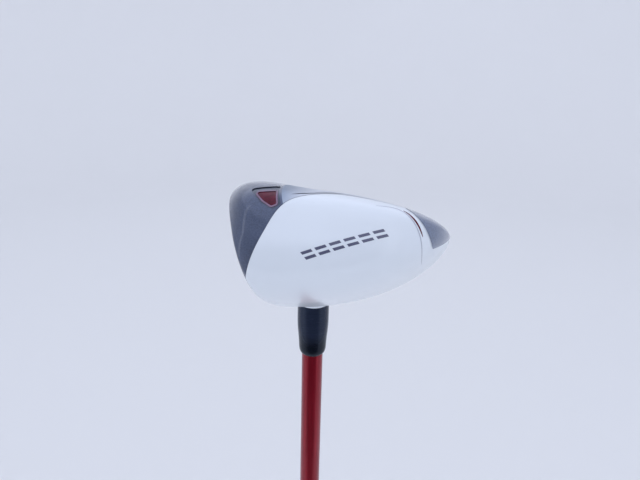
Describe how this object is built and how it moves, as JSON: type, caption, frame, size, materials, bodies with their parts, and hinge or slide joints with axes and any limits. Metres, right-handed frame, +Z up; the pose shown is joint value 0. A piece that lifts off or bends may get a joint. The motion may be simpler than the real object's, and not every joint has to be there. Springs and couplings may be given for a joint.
{
  "type": "hybrid golf club",
  "caption": "Right-handed hybrid golf club, head up: white crown, slate frame, silver sole, black ferrule, red graphite shaft and rubber grip.",
  "frame": {"origin": "centre of the grip's butt end, at the mouth of the vent hole; the club stands head up", "axes": "+Z up the shaft axis from grip to head; +X leans to the toe; -Y is the way the face looks"},
  "size_m": [0.0943, 0.0693, 1.0492],
  "materials": {
    "white_paint": "gloss white over steel",
    "slate_paint": "gloss metallic slate blue over steel",
    "satin_steel": "satin silver",
    "face_steel": "blasted grey with cut score lines",
    "badge_paint": "gloss metallic slate blue",
    "pocket_paint": "gloss dark slate",
    "red_enamel": "clear over dark red",
    "bead_metal": "polished bead",
    "weight_steel": "as cast",
    "hot_melt": "tacky glue",
    "plug_plastic": "moulded",
    "epoxy": "set resin",
    "weight_brass": "turned",
    "ferrule_plastic": "gloss black",
    "shaft_graphite": "gloss clear coat over metallic dark red carbon fibre",
    "grip_tape": "double-sided paper tape",
    "grip_rubber": "matt moulded rubber"
  },
  "bodies": {
    "root": {"crown_shell": "white_paint", "head_body": "slate_paint", "sole_plate": "satin_steel", "face_plate": "face_steel", "rear_badge": "badge_paint", "toe_pocket_insert": "red_enamel", "toe_pocket_rim": "pocket_paint", "toe_pocket_trim": "bead_metal", "rear_weight": "weight_steel", "sound_ribs": "weight_steel", "hot_melt": "hot_melt", "hosel_tube": "white_paint", "hosel_plug": "plug_plastic", "hosel_epoxy": "epoxy", "tip_weight": "weight_brass", "ferrule": "ferrule_plastic", "shaft": "shaft_graphite", "grip_tape": "grip_tape", "grip_sleeve": "grip_rubber", "grip_cap": "grip_rubber"}
  },
  "joints": []
}
